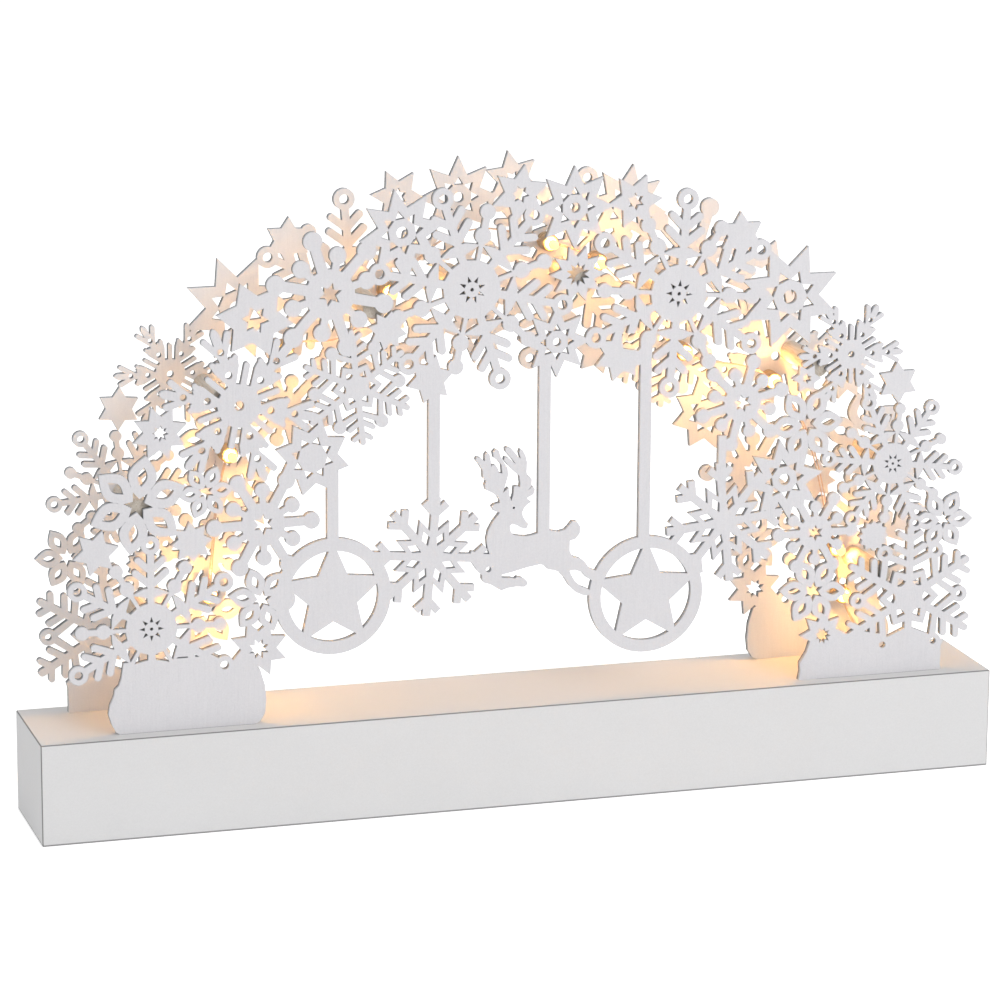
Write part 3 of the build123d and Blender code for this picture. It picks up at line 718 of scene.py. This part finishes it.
# The chevron flake: a six-pointed frame with a ring on each point and a twigged arm from each valley.
chevronShares = {
    "frame": (6, 1.05, 0.66), "ring": (0.148, 24, 0.982), "ringHole": (0.06, 16, 0.982),
    "dart": ((0.265, -0.03), (0.3, -0.095), (0.43, 0), (0.3, 0.095), (0.265, 0.03)),
    "chevron": ((0.578, 0), (0.418, -0.162), (0.53, -0.225), (0.83, 0), (0.53, 0.225), (0.418, 0.162)),
    "arm": ((0.3, 0), (1.27, 0), 0.066),
    "twigs": (((0.79, 0), (0.95, 0.27), 0.058), ((1.07, 0), (1.19, 0.195), 0.055)),
}


def chevronFlake(place, piercedRings):
    addWood(starShape(*chevronShares["frame"]), place)
    for point in range(6):
        turn = 60 * point
        addWood(roundDisc(*chevronShares["ring"]), place, turn)
        if piercedRings:
            addHole(roundDisc(*chevronShares["ringHole"]), place, turn)
        addHole(chevronShares["dart"], place, turn)
        addHole(chevronShares["chevron"], place, turn)
        addWood(roundedBar(*chevronShares["arm"]), place, turn + 30)
        addTwigs(chevronShares["twigs"], place, turn + 30)


# Small stars, some with a star-shaped hole.
starHoleShare = 0.55


def smallStar(place, points, hole, valley, alike=False):
    addWood(starShape(points, 1, valley), place)
    if hole:
        start = 0 if alike else 180 / points
        addHole(starShape(points, 1, starHoleShare, start), (*place[:2], hole, place[3]))


# The feet, where the arch stands on the base, and the star hole over the right one.
feet = {
    "left": (
        (-187.6, 46.5), (-189.4, 47.3), (-191.3, 50.8), (-192.8, 55.8), (-192.1, 60), (-190.2, 64.3),
        (-189.8, 67), (-187.9, 68.8), (-186.7, 72.5), (-185.8, 79), (-146, 79.5), (-143, 76.5), (-132, 76.5),
        (-124, 71.5), (-121.8, 64), (-121.2, 57), (-121.8, 51), (-124, 47.5), (-126, 46.5),
    ),
    "right": (
        (132.5, 46.5), (203, 46.5), (203, 57.5), (203.8, 60.5), (200, 64), (192, 66), (170, 66), (163, 68),
        (156.5, 67), (150, 67), (140, 67), (137.5, 63.8), (136.7, 60.4), (132.9, 54.6), (133.3, 50.8),
    ),
    "starHole": (144, 67, 4, 0), "starHolePoints": 9,
}

# A gap that stays open in the arch, beside the fourth post.
postGap = [(43.8, 214.8), (44.6, 208), (51.8, 206.6), (53, 208.2), (52.6, 214.8)]


# The arch of both panels: the places of each motif, and what else it takes. A ringed flake may have a plain
# spoke, and a sun has the radius of its middle hole. A small star has its points, the size of its hole in mm,
# how far out its valleys lie, and True where the hole points its way, not half a point further.
arch = {
    ringedFlake: (
        (-173, 93.7, 38, 0, 4), (-26.4, 238.5, 43.2, 18), (70.7, 231.8, 43, -5), (176.4, 146.9, 31.6, 23),
    ),
    balledFlake: (
        (-91.2, 239.5, 25, 48), (-122, 137.8, 22, 1), (102.2, 179.7, 19.5, 15), (139.1, 116.4, 17.8, 0),
    ),
    flower: (
        (-178.3, 150, 21.8, 20), (-147.8, 154, 12.2, 5), (-122.9, 103.3, 15, 50), (133.8, 167.8, 17.2, 4),
        (138.8, 88.6, 16.1, -4), (202.4, 118.4, 14.2, 0),
    ),
    sun: (
        (-58.5, 265.5, 19.5, 10, 0.14), (21.2, 273.2, 18.6, 0, 0.13), (124, 227.7, 24.4, 24.5, 0.135),
        (13.3, 212.8, 16.2, 0, 0.12), (-99.5, 166.5, 17.2, -15, 0, "full"), (123.3, 142.8, 19, 8, 0.14),
    ),
    smallStar: (
        (-168, 181.7, 12.5, 18, 8, 3.8, 0.6), (-125, 230, 17.5, -8, 6, 6.4, 0.6, True),
        (-124.5, 81, 13.4, 22.5, 8, 4.8, 0.6, True), (-4.3, 280.2, 13.3, 20, 6, 4.2, 0.54),
        (49.5, 274.7, 12.8, 5, 6, 4.2, 0.54), (22.8, 243, 13, 0, 10, 5.7, 0.6),
        (133.2, 189.3, 7, 0, 6, 2.4, 0.6), (-45.5, 199, 11, 15, 6, 0, 0.6), (178, 185, 9.9, 33, 6, 0, 0.6),
        (100.2, 257, 10.8, 32, 6, 0, 0.6), (43.5, 205.5, 12.7, 202, 7, 0, 0.6),
        (144.1, 67.4, 11.3, 0, 8, 0, 0.6), (-197.3, 129.7, 10.5, 14, 6, 0, 0.57),
        (-154.4, 131.7, 9.5, 6, 8, 0, 0.65), (168, 113, 7.4, 0, 12, 0, 0.78), (-65, 222, 9, 33, 8, 0, 0.65),
    ),
    slottedFlake: ((-132.5, 192, 36.5, 48.5), (154.5, 199.5, 25.5, 0)),
    chevronFlake: ((-79, 197.1, 19.7, 6, False), (186.4, 82.3, 25.7, 0, True)),
}


def archMotifs():
    for motif, rows in arch.items():
        for row in rows:
            motif(row[:4], *row[4:])
    woodOutlines.append(feet["left"])
    woodOutlines.append(feet["right"])
    addHole(starShape(feet["starHolePoints"], 1, starHoleShare), feet["starHole"])
    holeOutlines.append(postGap)


# The garland of the front panel: two wheels, two trident flakes, five posts and the deer.
wheelShares = {"disc": (1, 72), "starTip": 0.94, "starValley": 0.435, "rimSteps": 10}


def wheel(x, z, outer, inner):
    # a five-pointed star inside a rim, with an opening from each valley out to the rim
    place = (x, z, outer, 90)
    addWood(roundDisc(*wheelShares["disc"]), place)
    rim = inner / outer
    tip = wheelShares["starTip"]
    valley = wheelShares["starValley"]
    corner = polar(valley, pi / 5)
    edge = (tip - corner[0], -corner[1])
    square = edge[0] ** 2 + edge[1] ** 2
    reach = corner[0] * edge[0] + corner[1] * edge[1]
    run = (sqrt(reach ** 2 - square * (valley ** 2 - rim ** 2)) - reach) / square
    first = atan2(corner[1] + run * edge[1], corner[0] + run * edge[0])
    sweep = 2 * pi / 5 - 2 * first
    steps = wheelShares["rimSteps"]
    arc = [first + sweep * step / steps for step in range(steps + 1)]
    opening = [corner] + [polar(rim, angle) for angle in arc]
    for gap in range(5):
        addHole(opening, place, 72 * gap)


tridentShares = {
    "frame": (8, 0.66, 0.38, 22.5), "arm": (0.3, 1, 0.068, 0.068),
    "prong": ((0.72, 0), (0.91, 0.19)), "prongHalf": 0.06,
    "dart": ((0.2, 0), (0.33, -0.075), (0.46, 0), (0.33, 0.075)),
}


def tridentFlake(place):
    addWood(starShape(*tridentShares["frame"]), place)
    root, end = tridentShares["prong"]
    half = tridentShares["prongHalf"] * sqrt(0.5)
    prong = [(root[0] + half, -half), (end[0] + half, end[1] - half)]
    prong += [(end[0] - half, end[1] + half), (root[0] - half, half)]
    for arm in range(8):
        addWood(squareBar(*tridentShares["arm"]), place, 45 * arm)
        addWood(prong, place, 45 * arm)
        addWood(otherSide(prong), place, 45 * arm)
        addHole(tridentShares["dart"], place, 45 * arm + 22.5)


def block(left, right, bottom, top):
    woodOutlines.append([(left, bottom), (right, bottom), (right, top), (left, top)])


garland = {
    "wheels": ((-90.3, 102.7, 26.7, 20.9), (57, 93.2, 27.2, 21.7)),
    "tridents": ((-44.7, 117.6, 27.3, -5), (94.6, 124.5, 28, 6)),
    "posts": (
        (-92.9, -87.7, 127, 160), (-46.3, -41, 140, 195), (5.2, 10.6, 119, 206), (53, 58.3, 119, 212),
        (91, 94.7, 140, 165),
    ),
    "eye": (-6.3, 137.8, 0.6, 0), "eyeSides": 8, "shoulderHole": (-18, 110, 1.35, 0), "shoulderSides": 14,
}

# The deer, from the chest round the legs, belly, head and antlers back to the chest.
deer = [
    (11, 126.2), (15, 125.3), (18, 126), (20, 128), (21.5, 129.8), (23.5, 129.6), (25.2, 127), (25, 124),
    (23, 121.5), (20.3, 120.8), (20.2, 116), (21.5, 113.5), (25.5, 112), (27.5, 110.5), (29.5, 107.5),
    (34, 105.3), (33, 101), (31, 101.5), (28.5, 103), (26, 105.8), (23, 107), (20.3, 106.8), (21, 105),
    (23, 101.5), (26, 99), (31, 96.7), (29.5, 94.6), (27, 94.8), (23.5, 96.5), (20.5, 99.5), (18, 103.5),
    (15.5, 106.5), (13, 107.6), (10, 108.2), (8, 110.2), (6.5, 110.8), (0, 109.8), (-6, 108.3),
    (-11.8, 107.2), (-11.8, 105.7), (-7, 105.3), (-5.5, 104.8), (-4.5, 105.7), (-2, 105), (0, 103.5),
    (0.5, 102), (-1, 100.8), (-5, 101.2), (-9, 100.8), (-12, 99.8), (-14, 101), (-17, 103), (-20, 104),
    (-21, 105.5), (-21, 107.5), (-23, 109.5), (-25, 112.5), (-27.5, 116), (-26, 119), (-21, 117.6),
    (-17.3, 116.3), (-18.5, 120), (-19, 124), (-18.2, 128), (-16, 132), (-12.8, 136), (-15.5, 137),
    (-16.8, 139), (-15.5, 140), (-13, 140.5), (-12.8, 141.5), (-14, 143.5), (-16.5, 145.5), (-19.5, 147),
    (-20, 149), (-19.3, 151), (-20.8, 152.5), (-21, 156), (-22.5, 158.5), (-24.3, 161), (-23.8, 162.3),
    (-22, 161.8), (-20, 160), (-20, 163), (-19, 164.3), (-17.8, 163), (-17.3, 160), (-17, 157.3),
    (-16.5, 158.2), (-15, 158), (-13.7, 156), (-13.5, 154.5), (-11.8, 154), (-12.2, 158), (-13.8, 160),
    (-15.8, 161.5), (-16.3, 164), (-15, 165.3), (-13.5, 164.5), (-12.8, 162), (-11.3, 159.5), (-9.5, 156.5),
    (-9, 153.5), (-10, 150), (-11.5, 145), (-8.8, 147.3), (-8.5, 144), (-7.5, 141), (-6.5, 144),
    (-6.3, 147.5), (-5, 147.8), (-3.5, 147.3), (-3.3, 149), (-3.8, 152.5), (-6, 154.5), (-9, 157.5),
    (-11, 160), (-10.7, 161.5), (-9, 161), (-7, 159.3), (-5.5, 158), (-7, 160), (-10.3, 164),
    (-10.5, 165.5), (-9.5, 166), (-7.5, 165), (-5, 162), (-3.2, 160.3), (-4, 163), (-3.5, 164.8),
    (-2.3, 164), (-1, 161.5), (-0.3, 158.5), (-0.5, 154), (0, 152), (1, 151.8), (2, 150.5), (1.8, 147.2),
    (0, 145.2), (2.5, 147.3), (3.5, 145.8), (2.8, 143.5), (0, 142.2), (0, 141.3), (1.8, 140.2), (0, 139),
    (-1.5, 137.5), (-2.4, 135.5), (-2, 133.5), (-0.8, 131.5), (0.5, 130), (0, 128.3), (-1, 127.8),
    (-3, 128.5), (-5, 129.8), (-7, 130.4), (-8, 129.8), (-8, 127.5), (-6.5, 125.3), (-3, 124.5), (0, 124.2),
    (3, 124.6), (5.2, 125.3),
]


def garlandMotifs():
    for place in garland["wheels"]:
        wheel(*place)
    for place in garland["tridents"]:
        tridentFlake(place)
    for post in garland["posts"]:
        block(*post)
    woodOutlines.append(deer)
    addHole(roundDisc(1, garland["eyeSides"]), garland["eye"])
    addHole(roundDisc(1, garland["shoulderSides"]), garland["shoulderHole"])


# Tenons that stand in the top board, and patches, which stay wood although a hole of a motif crosses them.
tenon = {"places": (-175.95, -139.5, 148.5, 184.95), "half": 12, "top": 48}
footPatch = [(-161.5, 80), (-156.5, 80), (-157.5, 84), (-160, 84.5)]
wheelPatch = setDown(roundDisc(1, 32), (-113, 102.8, 5.3, 0))

# Triangles fill the outlines only, and points this near to each other in mm are welded.
sheet = {"inside": 1, "weld": 0.0001}


def fretSheet(name, node, mirror, patches, frontPaint, slot):
    # all outlines are triangulated at once, and only what lies in wood and in no hole is kept
    low, high = corners(node)
    points = []
    loops = []
    for outline in woodOutlines + holeOutlines + patches:
        loop = [Vector((mirror * x, z)) for x, z in outline]
        area = sum(a.x * b.y - b.x * a.y for a, b in zip(loop, loop[1:] + loop[:1]))
        if area < 0:
            loop.reverse()
        loops.append(list(range(len(points), len(points) + len(loop))))
        points += loop
    found = geometry.delaunay_2d_cdt(points, [], loops, sheet["inside"], sheet["weld"], True)
    spots, faces, faceOwners = found[0], found[2], found[5]
    firstHole = len(woodOutlines)
    firstPatch = firstHole + len(holeOutlines)
    kept = []
    for face, owners in zip(faces, faceOwners):
        if owners and (max(owners) < firstHole or max(owners) >= firstPatch):
            kept.append(face)
    mesh = bpy.data.meshes.new(name)
    mesh.from_pydata([(spot.x * mm, low.y, spot.y * mm) for spot in spots], [], kept)
    panel = bpy.data.objects.new(name, mesh)
    bpy.context.collection.objects.link(panel)
    takeUp(panel)
    bpy.ops.object.mode_set(mode="EDIT")
    bpy.ops.mesh.select_all(action="SELECT")
    bpy.ops.mesh.delete_loose()
    bpy.ops.mesh.select_all(action="SELECT")
    bpy.ops.mesh.extrude_region_move(TRANSFORM_OT_translate={"value": (0, high.y - low.y, 0)})
    bpy.ops.mesh.select_all(action="SELECT")
    bpy.ops.mesh.normals_make_consistent(inside=False)
    bpy.ops.object.mode_set(mode="OBJECT")
    settle(panel, slot, frontPaint, rearPaint, cutEdge)
    for face in panel.data.polygons:
        if abs(face.normal.y) < 0.5:
            face.material_index = 2
        elif face.normal.y > 0:
            face.material_index = 1
    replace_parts(panel, node)
    print(name, len(panel.data.polygons), "faces")


archMotifs()
for place in tenon["places"]:
    block(place - tenon["half"], place + tenon["half"], corners("front_panel")[0].z / mm, tenon["top"])
fretSheet("back_fretwork", "back_panel", -1, [footPatch], backPaintLightened, "back_ply")
garlandMotifs()
fretSheet("front_fretwork", "front_panel", 1, [footPatch, wheelPatch], facePaint, "front_ply")
print("fretwork cut")

# The base boards keep their CAD form.
for node in ("top_board", "front_board", "rear_board"):
    dressNode(node, boardLong)
for node in ("left_end_board", "right_end_board"):
    dressNode(node, boardEnd)

# The spacer rods: round dowels with a broken edge at both ends.
dowel = {"radius": 5, "edge": 0.4, "sides": 40, "count": 10}


def spacerDowel(number):
    node = "spacer_rod_" + str(number)
    low, high = corners(node)
    middle = (low + high) / 2
    length = (high.y - low.y) / mm
    radius = dowel["radius"]
    edge = dowel["edge"]
    rings = [(0, radius - edge), (edge, radius), (length - edge, radius), (length, radius - edge)]
    piece = ringStack("dowel_" + str(number), rings, dowel["sides"])
    piece.rotation_euler = (radians(-90), 0, 0)
    piece.location = (middle.x, low.y, middle.z)
    settle(piece, "rod_wood", rodWood)
    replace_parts(piece, node)


for number in range(dowel["count"]):
    spacerDowel(number + 1)
print("rods set")

# The lamps: a beaded bulb that stands in a collared socket. Rings are height and radius in mm.
bulb = {
    "rings": ((0, 1.7), (0.5, 2.2), (4.6, 2.15), (5.9, 1.95), (6.9, 1.5), (7.6, 0.85), (7.9, 0.25)),
    "sides": 28, "count": 10,
}
collar = {
    "rings": (
        (0, 3.6), (0.4, 4.1), (3, 4.15), (3.4, 3.7), (4.4, 3.7), (4.8, 4.1), (7.6, 4), (8.6, 3.4), (9, 2.7),
    ),
    "sides": 32,
}


def lamp(number):
    node = "led_bulb_" + str(number)
    low, high = corners(node)
    middle = (low + high) / 2
    glass = ringStack("bulb_" + str(number), bulb["rings"], bulb["sides"])
    seat = ringStack("socket_" + str(number), collar["rings"], collar["sides"])
    for piece, rear in ((glass, high.y), (seat, corners("led_string")[1].y)):
        piece.rotation_euler = (radians(90), 0, 0)
        piece.location = (middle.x, rear, middle.z)
    settle(glass, "bulb", bulbGlow)
    settle(seat, "cord", socketPlastic)
    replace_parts(glass, node)
    return middle.x, middle.z


lampPlaces = [lamp(number + 1) for number in range(bulb["count"])]
print("lamps set")

# The twin wire: two lacquered strands, up through the base and on from socket to socket.
wire = {
    "level": 0.0135, "strand": 0.00032, "spread": 0.0005, "sway": 0.0004, "swayTurn": 1.9,
    "bevelSteps": 3, "steps": 12,
    "start": [(0.156, 0.0315), (0.170, 0.0315), (0.175, 0.036), (0.175, 0.0555)],
    "afterSixth": (-0.02205, 0.258), "afterSeventh": (-0.07515, 0.2139),
}
route = wire["start"] + lampPlaces[:6] + [wire["afterSixth"], lampPlaces[6], wire["afterSeventh"]]
route += lampPlaces[7:]


def wireStrand(number, side):
    begin()
    bpy.ops.curve.primitive_bezier_curve_add(location=(0, 0, 0))
    strand = bpy.context.object
    strand.name = "wire_strand_" + str(number)
    spline = strand.data.splines[0]
    spline.bezier_points.add(len(route) - 2)
    for index, (x, z) in enumerate(route):
        point = spline.bezier_points[index]
        point.handle_left_type = "AUTO"
        point.handle_right_type = "AUTO"
        turn = index * wire["swayTurn"]
        sway = side * wire["sway"]
        point.co = (x + sway * cos(turn), wire["level"] + side * wire["spread"], z + sway * sin(turn))
    strand.data.bevel_depth = wire["strand"]
    strand.data.bevel_resolution = wire["bevelSteps"]
    strand.data.resolution_u = wire["steps"]
    bpy.ops.object.convert(target="MESH")
    return settle(bpy.context.object, "cord", copper)


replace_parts(wireStrand(1, -1), "led_string")
wireStrand(2, 1)
print("wire drawn")

# The battery box, its lid, the switch, the timer board and the contacts keep their CAD form.
dressNode("battery_box", boxPlastic)
dressNode("battery_lid", boxPlastic)
dressNode("switch_knob", knobPlastic)
dressNode("timer_board", circuit)
dressNode("contact_plates", nickel)
dressNode("contact_springs", nickel)

# The cells: a sleeved can with a bare rim and a raised cap.
cell = {
    "can": ((0, 3.4), (0.25, 4), (0.3, 4.9), (0.7, 5.2), (42.2, 5.2), (42.6, 4.9), (42.7, 3.9)),
    "cap": ((42.5, 3.7), (42.8, 3.6), (42.85, 1.8), (44.1, 1.75), (44.5, 1.4)), "sides": 48,
}


def sleevedCell(number):
    node = "cell_" + str(number)
    low, high = corners(node)
    middle = (low + high) / 2
    can = ringStack("can", cell["can"], cell["sides"])
    can.data.materials.append(cellSleeve)
    cap = ringStack("cap", cell["cap"], cell["sides"])
    cap.data.materials.append(nickel)
    piece = joined("sleeved_cell_" + str(number), [can, cap])
    piece.rotation_euler = (0, radians(90), 0)
    piece.location = (low.x, middle.y, middle.z)
    settle(piece, "cell_label")
    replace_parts(piece, node)


for number in (1, 2, 3):
    sleevedCell(number)
print("cells set")

# The box screws: a pan head with a cross recess on a threaded shank, in mm for a head 5 mm wide.
screw = {
    "head": ((0, 0.6), (0.12, 1.6), (0.5, 2.2), (1.1, 2.5), (1.45, 2.5)), "neck": ((1.5, 1.4), (2, 1.5)),
    "pitch": 0.7, "core": 1.15, "crest": 1.5, "tip": 0.3, "sides": 32, "recess": (3, 0.6, 1.1),
    "recessMiddle": 0.2,
}


def crossRecess(head):
    for turn in (0, 90):
        place = (0, 0, screw["recessMiddle"] * mm)
        bpy.ops.mesh.primitive_cube_add(size=1, location=place, rotation=(0, 0, radians(turn)))
        cutter = bpy.context.object
        cutter.scale = [side * mm for side in screw["recess"]]
        takeUp(cutter)
        bpy.ops.object.transform_apply(location=True, rotation=True, scale=True)
        takeUp(head)
        recess = head.modifiers.new("recess", "BOOLEAN")
        recess.operation = "DIFFERENCE"
        recess.object = cutter
        bpy.ops.object.modifier_apply(modifier="recess")
        bpy.data.objects.remove(cutter, do_unlink=True)


def boxScrew(x, y, low, high, size):
    rings = [(height, radius * size) for height, radius in screw["head"]] + list(screw["neck"])
    total = (high - low) / mm
    level = screw["neck"][-1][0]
    while level < total - 2 * screw["pitch"]:
        rings += [(level + screw["pitch"] / 2, screw["core"]), (level + screw["pitch"], screw["crest"])]
        level += screw["pitch"]
    rings.append((total, screw["tip"]))
    piece = ringStack("screw", rings, screw["sides"])
    crossRecess(piece)
    piece.location = (x, y, low)
    return piece


def boxScrews():
    low, high = corners("box_screws")
    middle = (low + high) / 2
    radius = (high.y - low.y) / 2
    size = radius / mm / screw["head"][-1][1]
    screws = [boxScrew(x, middle.y, low.z, high.z, size) for x in (low.x + radius, high.x - radius)]
    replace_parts(settle(joined("box_screw_pair", screws), "screw_metal", zinc), "box_screws")


boxScrews()
print("screws set")

# The stage: a pale floor that runs out to white, and soft studio light.
stage = {
    "floor": (0.9, 0.9, 0.9), "floorSize": 12, "floorGlow": 0.5, "worldShare": 0.61,
    "key": {
        "place": (0.9, -1.9, 1.3), "aim": (0, 0, 0.12), "size": 1.3, "power": 20, "tint": (1, 0.99, 0.98),
    },
    "top": {"place": (-0.3, 0.2, 1.9), "aim": (0, 0, 0.1), "size": 1.4, "power": 6, "tint": (1, 1, 1)},
}


def seenRay(tree):
    # 1 for what the camera sees, also in a reflection or through glass
    names = ("Is Camera Ray", "Is Glossy Ray", "Is Transmission Ray")
    camera, glossy, through = [Field(tree).node("ShaderNodeLightPath", output=name) for name in names]
    return (camera + glossy + through).above(0.5, 0.01)


begin()
bpy.ops.mesh.primitive_plane_add(size=stage["floorSize"], location=(0, 0, 0))
floor = bpy.context.object
floor.name = "studio_floor"
floorPaper, shader, place = newMaterial(
    "studio_paper", rough=0.9, specular=0.1, base=stage["floor"], glowStrength=stage["floorGlow"],
)
dress(shader, glow=seenRay(place.tree).colour((0, 0, 0), (1, 1, 1)))
floor.data.materials.append(floorPaper)

# The world shows white, and lights with a share of that.
world = bpy.data.worlds.new("studio")
bpy.context.scene.world = world
world.use_nodes = True
background = world.node_tree.nodes["Background"]
background.inputs["Color"].default_value = (1, 1, 1, 1)
strength = seenRay(world.node_tree) * (1 - stage["worldShare"]) + stage["worldShare"]
feed(world.node_tree, background.inputs["Strength"], strength)


def softLight(name, place, aim, size, power, tint):
    begin()
    bpy.ops.object.light_add(type="AREA", location=place)
    light = bpy.context.object
    light.name = name
    light.data.shape = "DISK"
    light.data.size = size
    light.data.energy = power
    light.data.color = tint
    light.rotation_euler = (Vector(aim) - Vector(place)).to_track_quat("-Z", "Y").to_euler()


softLight("key_light", **stage["key"])
softLight("top_light", **stage["top"])

# The camera stands to the left of the front and a little above the arch.
view = {
    "place": (-0.561156, -1.810932, 0.598574), "turn": (76.2954, -0.3751, -16.95043), "lens": 154.634,
    "sensor": 36, "shift": (-0.00082, -0.00037), "farClip": 60,
}
begin()
bpy.ops.object.camera_add(location=view["place"], rotation=[radians(angle) for angle in view["turn"]])
camera = bpy.context.object
camera.data.sensor_width = view["sensor"]
camera.data.lens = view["lens"]
camera.data.shift_x, camera.data.shift_y = view["shift"]
camera.data.clip_end = view["farClip"]
camera.data.dof.use_dof = False
bpy.context.scene.camera = camera
bpy.context.scene.view_settings.view_transform = "Standard"
print("stage set")
